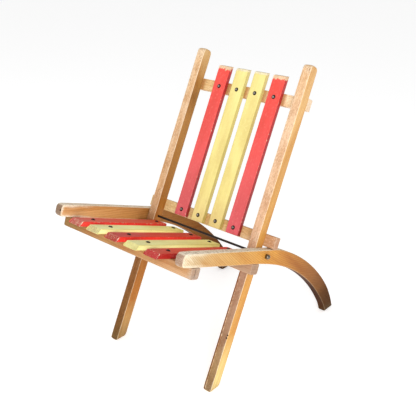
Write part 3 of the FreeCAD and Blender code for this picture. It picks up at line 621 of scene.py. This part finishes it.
def paint(name, length, face, side, raw, bare=(0.45, 0.5), chips=0.5, slash=0.0, gloss=0.34,
          undercoat=(246, 232, 204), band=0.0, line=(1.0, 1.0, 1.0), spec=0.3, nose=None):
    """Old satin paint on a slat, chipped at its edges and ends.

    face and side are colours along the length; bare is how far the two ends are stripped;
    band is the depth in millimetres of bare wood at the far end; line tints the edges.
    nose is (colour of the sloped end, its wear, and the strength of the two rubbed lines).
    """
    k = Nodes(name)
    grain = k.attr("grain")
    edge, d0, d1 = k.split(k.attr("wear"))
    n_run, n_off, n_x = k.split(k.attr("side"))
    at = k.math("DIVIDE", d0, length, True)
    show = k.step(n_off, 0.45, 0.95)
    base = k.mix(show, k.ramp(at, stops(length, side)), k.ramp(at, stops(length, face)))
    slope = k.math("MULTIPLY", k.step(n_run, 0.4, 0.75), k.step(d1, 6.0, 1.0))
    if nose is not None:
        base = k.mix(k.math("MULTIPLY", slope, 0.95), base, rgb(*nose[0]))
    broad = k.noise(k.mapping(grain, (7, 22, 22)), 1.0, 3.0, 0.55)
    brush = k.noise(k.mapping(grain, (5, 420, 420)), 1.0, 4.0, 0.6)
    mottle = k.noise(k.mapping(grain, (130, 190, 190)), 1.0, 5.0, 0.66)
    dark = k.mix(1.0, base, rgb(240, 232, 224), "MULTIPLY")
    light = k.mix(0.1, base, rgb(255, 240, 220))
    col = k.mix(k.step(broad, 0.34, 0.66), dark, base)
    col = k.mix(k.math("MULTIPLY", k.step(mottle, 0.5, 0.7), 0.6), col, light)
    col = k.mix(k.math("MULTIPLY", k.step(brush, 0.5, 0.3), 0.35), col, dark)
    if line != (1.0, 1.0, 1.0):
        tint = (line[0], line[1], line[2], 1.0)
        col = k.mix(k.step(k.math("ABSOLUTE", k.math("SUBTRACT", edge, 0.9)), 0.8, 0.2), col,
                    k.mix(1.0, base, tint, "MULTIPLY"))
    # long scratches along the slat
    lines = k.noise(k.mapping(grain, (8, 900, 900), (0, 0, 1.2)), 1.0, 2.0, 0.5)
    part = k.noise(k.mapping(grain, (14, 30, 30)), 1.0, 2.0, 0.5)
    scratch = k.math("MULTIPLY", k.step(lines, 0.70, 0.74), k.step(part, 0.52, 0.66))
    col = k.mix(k.math("MULTIPLY", scratch, 0.3 + slash), col, rgb(*undercoat))
    # chips
    chip = k.noise(k.mapping(grain, (130, 260, 260)), 1.0, 5.0, 0.62, 0.3)
    spots = k.noise(k.mapping(grain, (40, 60, 60)), 1.0, 2.0, 0.5)
    near = k.math("MULTIPLY", k.step(edge, 2.6, 0.0), 0.19 * chips)
    far = k.math("MULTIPLY", k.step(d1, 9.0, 0.0), 0.3 * bare[1])
    low = k.math("MULTIPLY", k.step(d0, 9.0, 0.0), 0.3 * bare[0])
    lift = k.math("ADD", k.math("ADD", near, far), k.math("ADD", low, k.math(
        "MULTIPLY", k.math("SUBTRACT", spots, 0.5), 0.18)))
    if band:
        jag = k.noise(k.mapping(grain, (50, 300, 300)), 1.0, 4.0, 0.6)
        reach = k.math("SUBTRACT", k.math("ADD", band, k.math(
            "MULTIPLY", k.math("SUBTRACT", jag, 0.5), band * 2.6)), d1)
        lift = k.math("ADD", lift, k.math("MULTIPLY", k.step(reach, -0.4, 0.8), 0.6))
    bare_at = k.step(k.math("ADD", chip, lift), 0.75, 0.775)
    halo = k.step(k.math("ADD", chip, lift), 0.722, 0.75)
    wood_fine = k.noise(k.mapping(grain, (40, 700, 700)), 1.0, 4.0, 0.6)
    under = k.mix(k.step(wood_fine, 0.35, 0.65), rgb(*[c * 0.86 for c in raw]), rgb(*raw))
    col = k.mix(k.math("MULTIPLY", halo, 0.5), col, rgb(*undercoat))
    col = k.mix(bare_at, col, under)
    # grime, heavier near the ends, and small dark specks
    grime_and_shadow = k.noise(k.mapping(grain, (22, 40, 40)), 1.0, 5.0, 0.65)
    grub = k.math("MULTIPLY", k.step(k.math("MINIMUM", d0, d1), 30.0, 0.0), 0.16)
    col = k.mix(k.math("MULTIPLY", k.step(k.math("ADD", grime_and_shadow, grub), 0.62, 0.84), 0.22), col,
                rgb(134, 100, 66))
    speck = k.noise(k.mapping(grain, (240, 280, 280)), 1.0, 2.0, 0.5)
    col = k.mix(k.math("MULTIPLY", k.step(speck, 0.735, 0.765), 0.55), col, rgb(104, 66, 50))
    if nose is not None:
        # the sloped end is scuffed all over, and its edges are rubbed to a thin pale line
        scuff = k.noise(k.mapping(grain, (360, 420, 420)), 1.0, 4.0, 0.68, 0.4)
        worn = k.step(k.math("ADD", scuff, k.math("MULTIPLY", k.step(
            k.noise(grain, 90.0, 1.0), 0.35, 0.65), 0.1)), 0.68 - 0.18 * nose[1],
            0.74 - 0.18 * nose[1])
        col = k.mix(k.math("MULTIPLY", k.math("MULTIPLY", worn, slope), min(1.0, 0.4 + nose[1])),
                    col, under)
        broken = k.step(k.noise(k.mapping(grain, (120, 160, 160)), 1.0, 3.0, 0.6), 0.36, 0.48)
        rim = k.math("MULTIPLY", k.step(edge, 1.5, 0.7), k.step(n_run, 0.22, 0.42))
        lip = k.math("MULTIPLY", k.step(n_off, 0.72, 0.85), k.step(n_off, 0.985, 0.9))
        lip = k.math("MULTIPLY", lip, k.step(n_run, 0.15, 0.3))
        rubbed = k.math("ADD", k.math("MULTIPLY", rim, nose[2]), k.math("MULTIPLY", lip, nose[3]), True)
        col = k.mix(k.math("MULTIPLY", rubbed, broken), col, rgb(*undercoat))
    height = k.math("ADD", k.math("MULTIPLY", brush, 0.35), k.math("MULTIPLY", mottle, 0.2))
    height = k.math("SUBTRACT", height, k.math("MULTIPLY", bare_at, 0.8))
    normal = k.bump(height, 0.2, 0.0006)
    rough = k.math("ADD", k.math("MULTIPLY", bare_at, 0.4), gloss)
    rough = k.math("ADD", rough, k.math("MULTIPLY", k.math("SUBTRACT", mottle, 0.5), 0.25), True)
    return k.done(col, rough, normal, spec)


def metal(name, colour, other, rough, metallic, scale=900.0, rust=None, crown=None):
    """Steel with fine marks, for parts without board attributes."""
    k = Nodes(name)
    tex = k.tree.nodes.new("ShaderNodeTexCoord").outputs["Object"]
    marks = k.noise(tex, scale, 5.0, 0.65)
    broad = k.noise(tex, scale / 6, 3.0, 0.5)
    col = k.mix(k.step(marks, 0.35, 0.7), rgb(*colour), rgb(*other))
    if rust:
        col = k.mix(k.math("MULTIPLY", k.step(broad, 0.52, 0.68), 0.6), col, rgb(*rust))
    # a pale crown on each head: painted highlight
    if crown:
        top = k.step(k.math("ADD", k.split(k.attr("crown"))[0], k.math(
            "MULTIPLY", k.math("SUBTRACT", broad, 0.5), 0.3)), 0.62, 0.34)
        col = k.mix(k.math("MULTIPLY", top, 0.85), col, rgb(*crown))
    k.bsdf.inputs["Metallic"].default_value = metallic
    r = k.math("ADD", k.math("MULTIPLY", k.math("SUBTRACT", marks, 0.5), 0.25), rough, True)
    return k.done(col, r, k.bump(marks, 0.12, 0.0002), 0.5)


# --- materials -------------------------------------------------------------------------
LEG_LEN = 815.0
POST_LEN = 848.0


def spot(a, b, c, seed):
    """A place on a board in its grain coordinates, from millimetres."""
    h = seed % 97
    return (a * 0.001 + 0.913 * h, b * 0.001 + 0.271 * h, c * 0.001 + 0.637 * h)


right_leg_side = [(0, (92, 72, 46)), (26, (86, 54, 24)), (90, (100, 62, 26)),
                  (200, (152, 100, 46)), (290, (172, 112, 44)), (400, (196, 132, 52)),
                  (500, (218, 158, 68)), (640, (210, 162, 92)), (745, (208, 170, 114)),
                  (785, (214, 192, 152)), (815, (232, 216, 184))]
left_leg_side = [(0, (86, 60, 34)), (120, (96, 60, 26)), (300, (146, 92, 34)),
                 (430, (160, 108, 50)), (600, (192, 142, 82)), (740, (214, 164, 104)),
                 (815, (222, 176, 124))]
arm_face = [(0, (92, 66, 40)), (200, (128, 80, 36)), (420, (206, 170, 120)),
            (500, (236, 224, 200)), (700, (238, 228, 208)), (815, (238, 228, 210))]
leg_back = [(0, (78, 48, 26)), (120, (62, 32, 12)), (330, (96, 56, 26)),
            (470, (164, 108, 54)), (650, (204, 154, 94)), (815, (216, 186, 142))]

MAT = {}
MAT["right_side_leg"] = wood("wood_arm_right", LEG_LEN, right_leg_side, arm_face, leg_back,
                             (0.5, 0.06, 0.0), 0.8, -24.0, (0.0, 0.6), 0.2, (62.0, 1.8, 0.42),
                             tip=(168, 140, 124, 0.95), bend=(0.35, 1.07, 0.913 * 12), halo=0.6)
MAT["left_side_leg"] = wood("wood_arm_left", LEG_LEN, left_leg_side, arm_face, leg_back,
                            (0.42, 0.02, 0.0), 0.75, 6.0, (0.0, 0.5), 0.2, (48.0, 2.4, 0.25),
                            [(spot(325.8, 0.5, -189.8, 11), 0.0027)], tip=(140, 120, 104, 0.95), halo=0.95)
# the dark band along the lower front edge of this post is painted shade
MAT["right_post"] = wood(
    "wood_post_right", POST_LEN,
    [(0, (206, 178, 124)), (30, (240, 216, 142)), (80, (242, 208, 132)), (150, (222, 164, 82)),
     (330, (220, 162, 82)), (440, (216, 162, 86)), (560, (218, 170, 102)),
     (700, (230, 188, 126)), (848, (222, 180, 124))],
    [(0, (142, 116, 84)), (60, (162, 132, 92)), (130, (156, 122, 94)), (320, (174, 136, 112)),
     (440, (222, 182, 148)), (640, (230, 194, 160)), (848, (230, 194, 154))],
    [(0, (150, 112, 70)), (400, (202, 152, 94)), (848, (216, 174, 118))],
    (0.3, 0.04, 0.08), 1.0, 3.0, (0.3, 0.6), 0.3, (50.0, 2.0, 0.25),
    [(spot(-217.5, 15.4, 181.0, 22), 0.0023), (spot(-225.0, 15.6, 180.4, 22), 0.0024)],
    shade_strip=spot(0, 0, 158.0, 22)[2])
# this post's colours are darker than the right post's: painted shade; the dip near 715 mm in its side
# colours is painted shade under the back rail
MAT["left_post"] = wood(
    "wood_post_left", POST_LEN,
    [(0, (164, 134, 84)), (70, (194, 152, 92)), (120, (184, 122, 54)), (330, (170, 110, 44)),
     (520, (172, 120, 54)), (640, (178, 130, 66)), (715, (154, 110, 54)),
     (775, (194, 148, 84)), (848, (216, 180, 124))],
    [(0, (112, 84, 50)), (70, (126, 88, 48)), (320, (150, 104, 62)), (440, (214, 174, 134)),
     (640, (222, 186, 148)), (848, (230, 196, 156))],
    [(0, (140, 102, 62)), (400, (194, 142, 86)), (848, (208, 166, 112))],
    (0.32, 0.04, 0.08), 1.0, -4.0, (0.3, 0.6), 0.3, (50.0, 2.0, 0.25))
RAIL_F = [(0, (146, 114, 68)), (110, (168, 126, 76)), (330, (190, 146, 100)),
          (400, (204, 166, 128)), (419, (192, 170, 152))]
MAT["seat_front_rail"] = wood("wood_rail_seat_front", 419.0, RAIL_F, RAIL_F,
                              [(0, (176, 132, 86)), (419, (196, 150, 104))],
                              (0.1, 0.1, 0.1), 0.5, 1.0, (0.3, 0.5), 0.5, (40.0, 2.0, 0.2),
                              (), (spot(0, -33.0, 275.5, 31)[2], spot(0, -32.0, 0, 31)[1]))
MAT["seat_rear_rail"] = wood("wood_rail_seat_rear", 419.0,
                             [(0, (166, 130, 100)), (419, (182, 150, 124))],
                             [(0, (180, 136, 100)), (419, (200, 156, 124))],
                             [(0, (176, 134, 94)), (419, (192, 148, 108))],
                             (0.12, 0.12, 0.12), 0.5, -2.0, (0.4, 0.5), 0.4, (40.0, 2.0, 0.2))
# the darker strips right of the left post and right of each back slat on this rail are painted shadow
MAT["back_upper_rail"] = wood("wood_rail_back_upper", 368.0,
                              [(0, (238, 206, 156)), (240, (248, 218, 174)), (368, (252, 230, 200))],
                              [(0, (236, 204, 150)), (240, (248, 218, 172)), (368, (252, 230, 196))],
                              [(0, (214, 170, 118)), (368, (222, 180, 130))],
                              (0.16, 0.16, 0.1), 0.6, 2.0, (0.3, 0.5), 0.4, (44.0, 2.0, 0.2),
                              shadow_beside=[x * 0.001 + 0.913 * 33 for x in
                                      (-158.0, -69.4, -9.8, 49.8, 109.4)])
MAT["back_lower_rail"] = wood("wood_rail_back_lower", 429.0,
                              [(0, (218, 184, 134)), (429, (206, 162, 130))],
                              [(0, (226, 196, 140)), (300, (230, 202, 150)), (429, (208, 166, 134))],
                              [(0, (178, 136, 92)), (429, (196, 152, 106))],
                              (0.12, 0.12, 0.12), 0.6, -2.0, (0.4, 0.5), 0.4, (40.0, 2.0, 0.2))

RED_RAW, YEL_RAW = (214, 158, 136), (196, 176, 138)
OLIVE = (0.66, 0.64, 0.46)
for i, face, side, chips, end in (
        (1, [(0, (226, 80, 48)), (160, (238, 88, 54)), (290, (224, 104, 88)), (316, (216, 112, 98))],
         [(0, (214, 52, 44)), (200, (236, 50, 44)), (316, (232, 66, 58))], 1.0,
         ((186, 84, 76), 0.75, 0.9, 0.3)),
        (3, [(0, (222, 66, 42)), (160, (222, 62, 42)), (316, (210, 62, 54))],
         [(0, (214, 52, 44)), (200, (238, 48, 38)), (316, (232, 54, 46))], 0.3,
         ((172, 58, 54), 0.5, 0.9, 0.35)),
        # slat 5's darker side colour is painted shadow of the arm
        (5, [(0, (224, 64, 44)), (200, (236, 84, 58)), (316, (214, 76, 64))],
         [(0, (176, 34, 30)), (316, (178, 36, 34))], 0.2,
         ((186, 58, 58), 0.3, 0.75, 0.8))):
    MAT["seat_slat_%d" % i] = paint(
        "paint_seat_red_%d" % i, 316.0, face, side, RED_RAW, (0.4, 0.2), chips, 0.05, 0.5,
        spec=0.16, nose=end)
for i, end in ((2, ((214, 206, 142), 0.7, 0.15, 0.1)), (4, ((226, 222, 152), 0.3, 0.1, 0.0))):
    MAT["seat_slat_%d" % i] = paint(
        "paint_seat_yellow_%d" % i, 316.0,
        [(0, (255, 250, 158)), (200, (255, 255, 178)), (300, (250, 252, 184)),
         (316, (240, 240, 182))],
        [(0, (238, 232, 140)), (200, (254, 252, 172)), (316, (254, 252, 176))],
        YEL_RAW, (0.4, 0.2), 0.3, 0.0, 0.5, line=OLIVE, spec=0.12, nose=end)
# the side colours of these slats, darker than their faces and darkest at the bottom, are painted shade
for i in (1, 4):
    MAT["back_slat_%d" % i] = paint(
        "paint_back_red_%d" % i, 427.0,
        [(0, (220, 92, 102)), (90, (222, 90, 94)), (220, (230, 82, 78)), (427, (238, 78, 68))],
        [(0, (150, 30, 36)), (200, (164, 32, 36)), (340, (172, 32, 36)), (427, (190, 44, 46))],
        (240, 204, 166), (0.3, 0.85), 0.62, 0.0, 0.36, band=9.0)
for i in (2, 3):
    MAT["back_slat_%d" % i] = paint(
        "paint_back_yellow_%d" % i, 427.0,
        [(0, (234, 216, 144)), (90, (238, 224, 140)), (427, (238, 226, 146))],
        [(0, (206, 188, 108)), (200, (212, 196, 114)), (340, (218, 202, 122)),
         (427, (228, 214, 142))],
        (244, 230, 190), (0.3, 0.8), 0.5, 0.0, 0.36, band=5.5, line=OLIVE)

SCREW = metal("steel_screw_dark", (34, 29, 26), (62, 54, 48), 0.4, 0.75, 1500.0, (54, 34, 24))
# back screws: dark steel with a painted highlight on the crown of each head
SCREW_HIGHLIT = metal("steel_screw_rubbed", (26, 22, 20), (48, 42, 38), 0.36, 0.7, 1500.0,
                     (44, 30, 22), (178, 172, 164))
ROD = metal("steel_rod_dark", (36, 30, 28), (58, 50, 46), 0.5, 0.6, 700.0, (60, 40, 30))
CAP = metal("steel_cap_bright", (104, 97, 86), (140, 132, 120), 0.17, 1.0, 900.0)
WASHER = metal("steel_washer", (130, 124, 116), (168, 162, 152), 0.4, 1.0, 800.0, (120, 90, 64))


# --- boards ------------------------------------------------------------------------------
def add(obj, node, body, mat):
    obj.data.materials.append(mat)
    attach(obj, body)
    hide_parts(node)


seat, back = "seat_frame", "back_frame"
p, q = leg_curves()
for node, x0, seed in (("left_side_leg", -210.0, 11), ("right_side_leg", 186.0, 12)):
    o = prism("board_" + node, p, q, x0, x0 + 24.0, 2.5, 9, 3.8, AXES["arm"], "run", seed,
              (0.45, 0.14, 0.0), ((1, 2.4, 16.0, 3.2),), ease=2.0)
    add(o, node, seat, MAT[node])
p, q = post_curves()
for node, x0, seed in (("left_post", -183.0, 21), ("right_post", 158.0, 22)):
    o = prism("board_" + node, p, q, x0, x0 + 25.0, 2.0, 8, 3.6, AXES["back"], "run", seed,
              (0.45, 0.14, 0.0), ((1, 1.0, 9.0, 2.8), (0, 1.0, 10.0, 3.0)), ease=5.0)
    add(o, node, back, MAT[node])

for node, a, b, seed in (("seat_front_rail", 259.0, 288.5, 31), ("seat_rear_rail", 20.75, 52.65, 32)):
    p, q = rail_curves(a, b, -46.8, -20.3, 6.0, 2.0)
    o = prism("board_" + node, p, q, -209.5, 209.5, 1.2, 6, 4.0, AXES["deck"], "x", seed,
              (0.25, 0.1, 0.25))
    add(o, node, seat, MAT[node])
for node, a, b, half, seed in (("back_upper_rail", 374.5, 405.5, 184.0, 33),
                               ("back_lower_rail", 20.5, 51.5, 214.5, 34)):
    p, q = rail_curves(a, b, -36.5, -16.5, 2.0, 2.0)
    o = prism("board_" + node, p, q, -half, half, 1.2, 6, 4.0, AXES["back"], "x", seed,
              (0.25, 0.1, 0.25))
    add(o, node, back, MAT[node])

SEAT_X = (-124.4, -62.2, 0.0, 62.2, 124.4)
BACK_X = (-89.4, -29.8, 29.8, 89.4)
for i, x in enumerate(SEAT_X, 1):
    p, q = slat_curves(20.5, 325.5, 334.0, -20.3, -7.5, 72)
    o = prism("slat_seat_%d" % i, p, q, x - 20, x + 20, 1.8, 6, 2.8, AXES["deck"], "run",
              40 + i, (0.3, 0.1, 0.9))
    add(o, "seat_slat_%d" % i, seat,
        MAT["seat_slat_%d" % i])
for i, x in enumerate(BACK_X, 1):
    p, q = slat_curves(22.0, 446.5, 451.0, -16.5, -3.1, 96)
    o = prism("slat_back_%d" % i, p, q, x - 20, x + 20, 1.8, 6, 2.8, AXES["back"], "run",
              50 + i, (0.3, 0.1, 0.9))
    add(o, "back_slat_%d" % i, back,
        MAT["back_slat_%d" % i])


# --- screw heads ---------------------------------------------------------------------------
def screw_heads(name, spots, axes, sign, node, body, seed, mat=None):
    """Slotted round heads, each with a short stub into the wood. spots are (x, run, off)."""
    R, H, slot_half, floor = 5.6, 2.9, 0.6, 1.45
    ball = (R * R + H * H) / (2 * H)
    u_lines = [-0.985, -0.93, -0.84, -0.7, -0.52, -0.34, -0.2, -(slot_half + 0.09) / R,
               -(slot_half + 0.02) / R, 0.0, (slot_half + 0.02) / R, (slot_half + 0.09) / R,
               0.2, 0.34, 0.52, 0.7, 0.84, 0.93, 0.985]
    nv = 16
    verts, quads, rest, crown = [], [], [], []
    rng = np.random.default_rng(seed)
    run_dir, off_dir = axes
    for x, run, off in spots:
        turn = rng.uniform(0, math.pi)
        ca, sa = math.cos(turn), math.sin(turn)
        e1, e2 = XDIR * ca + run_dir * sa, -XDIR * sa + run_dir * ca
        e3 = off_dir * sign
        c = ORIGIN + XDIR * x + run_dir * run + off_dir * off
        start = len(verts)
        for u in u_lines:
            vm = math.sqrt(max(0.0, 1 - u * u))
            for jv in range(nv + 1):
                v = -vm * math.cos(math.pi * jv / nv)
                rho = min(R, R * math.hypot(u, v))
                z = math.sqrt(ball * ball - rho * rho) - (ball - H)
                if abs(u) * R < slot_half + 0.05:
                    z = min(z, floor)
                verts.append(c + (e1 * u + e2 * v) * R + e3 * max(z, 0.0))
                crown.append(rho / R)
        nu = len(u_lines)
        for a in range(nu - 1):
            for b in range(nv):
                i = start + a * (nv + 1) + b
                quads.append((i, i + nv + 1, i + nv + 2, i + 1))
        rim = [start + a * (nv + 1) for a in range(nu)]
        rim += [start + (nu - 1) * (nv + 1) + b for b in range(1, nv + 1)]
        rim += [start + a * (nv + 1) + nv for a in range(nu - 2, -1, -1)]
        rim += [start + b for b in range(nv - 1, 0, -1)]
        low = len(verts)
        for i in rim:
            verts.append(verts[i] - e3 * 0.45)
            crown.append(1.0)
        m = len(rim)
        for b in range(m):
            quads.append((rim[b], low + b, low + (b + 1) % m, rim[(b + 1) % m]))
        rest.append(tuple(low + b for b in range(m)))
    mesh = bpy.data.meshes.new(name)
    mesh.from_pydata([tuple(v * 0.001) for v in verts], [], quads + rest)
    mesh.validate()
    import bmesh
    bm = bmesh.new()
    bm.from_mesh(mesh)
    bmesh.ops.recalc_face_normals(bm, faces=bm.faces)
    bm.to_mesh(mesh)
    bm.free()
    mesh.attributes.new("crown", "FLOAT", "POINT").data.foreach_set("value", crown)
    mesh.polygons.foreach_set("use_smooth", np.ones(len(mesh.polygons), bool))
    mesh.set_sharp_from_angle(angle=math.radians(38))
    obj = bpy.data.objects.new(name, mesh)
    bpy.context.scene.collection.objects.link(obj)
    add(obj, node, body, mat or SCREW)


D, B = AXES["deck"], AXES["back"]
screw_heads("screws_seat_front", [(x, 276.0, -7.5) for x in SEAT_X], D, 1, "seat_screws_front", seat, 61)
screw_heads("screws_seat_rear", [(x, 42.0, -7.5) for x in SEAT_X], D, 1, "seat_screws_rear", seat, 62)
screw_heads("screws_back_upper", [(x, 390.0, -3.1) for x in BACK_X], B, 1, "back_screws_upper", back, 63,
            SCREW_HIGHLIT)
screw_heads("screws_back_lower", [(x, 39.7, -3.1) for x in BACK_X], B, 1, "back_screws_lower", back, 64,
            SCREW_HIGHLIT)
screw_heads("screws_front_rail", [(x, 273.75, -46.8) for x in (-198.0, 198.0)], D, -1,
            "seat_front_rail_screws", seat, 65)
screw_heads("screws_rear_rail", [(x, 36.7, -46.8) for x in (-198.0, 198.0)], D, -1,
            "seat_rear_rail_screws", seat, 66)
screw_heads("screws_upper_rail", [(x, 390.0, -36.5) for x in (-170.5, 170.5)], B, -1,
            "back_upper_rail_screws", back, 67)
screw_heads("screws_lower_rail", [(x, 36.0, -36.5) for x in (-170.5, 170.5)], B, -1,
            "back_lower_rail_screws", back, 68)

# --- metal parts keep their CAD meshes ---------------------------------------------------------
for o in bpy.data.objects:
    if o.type != "MESH":
        continue
    for key, mat in (("pivot_rod", ROD), ("rod_cap", CAP), ("pivot_washer", WASHER)):
        if o.name.startswith(key):
            for s in o.material_slots:
                s.material = mat

# --- floor, light and camera -----------------------------------------------------------------
k = Nodes("floor_pale")
k.bsdf.inputs["Base Color"].default_value = (0.9, 0.9, 0.9, 1)
k.bsdf.inputs["Roughness"].default_value = 0.9
k.bsdf.inputs["Specular IOR Level"].default_value = 0.1
k.bsdf.inputs["Emission Color"].default_value = (1, 1, 1, 1)
k.bsdf.inputs["Emission Strength"].default_value = 0.4
mesh = bpy.data.meshes.new("floor")
ring = [(30 * math.cos(2 * math.pi * i / 64), 30 * math.sin(2 * math.pi * i / 64), -0.0002)
        for i in range(64)]
mesh.from_pydata(ring, [], [tuple(range(64))])
floor = bpy.data.objects.new("floor", mesh)
mesh.materials.append(k.mat)
bpy.context.scene.collection.objects.link(floor)

scene = bpy.context.scene
world = bpy.data.worlds.new("studio")
world.use_nodes = True
world.node_tree.nodes["Background"].inputs[0].default_value = (1, 1, 1, 1)
world.node_tree.nodes["Background"].inputs[1].default_value = 0.6
scene.world = world
scene.view_settings.view_transform = "Standard"
scene.view_settings.look = "None"


def area(name, place, target, size, power, colour=(1, 1, 1)):
    lamp = bpy.data.lights.new(name, "AREA")
    lamp.shape, lamp.size, lamp.energy, lamp.color = "DISK", size, power, colour
    o = bpy.data.objects.new(name, lamp)
    o.location = place
    o.rotation_euler = (Vector(target) - Vector(place)).to_track_quat("-Z", "Y").to_euler()
    scene.collection.objects.link(o)


area("key", (2.3, -2.5, 1.9), (0, 0, 0.4), 1.7, 84)
area("fill", (-2.4, -2.2, 1.6), (0, 0, 0.4), 2.2, 14)

cam = bpy.data.cameras.new("camera")
cam.sensor_width, cam.lens = 36.0, 55.85
cam_obj = bpy.data.objects.new("camera", cam)
m = Matrix(((0.76948, -0.26448, 0.58133, 0.99506),
            (0.63858, 0.30372, -0.70709, -1.213955),
            (0.01045, 0.91532, 0.40260, 1.07585),
            (0, 0, 0, 1)))
cam_obj.matrix_world = m
scene.collection.objects.link(cam_obj)
scene.camera = cam_obj

bpy.context.view_layer.update()
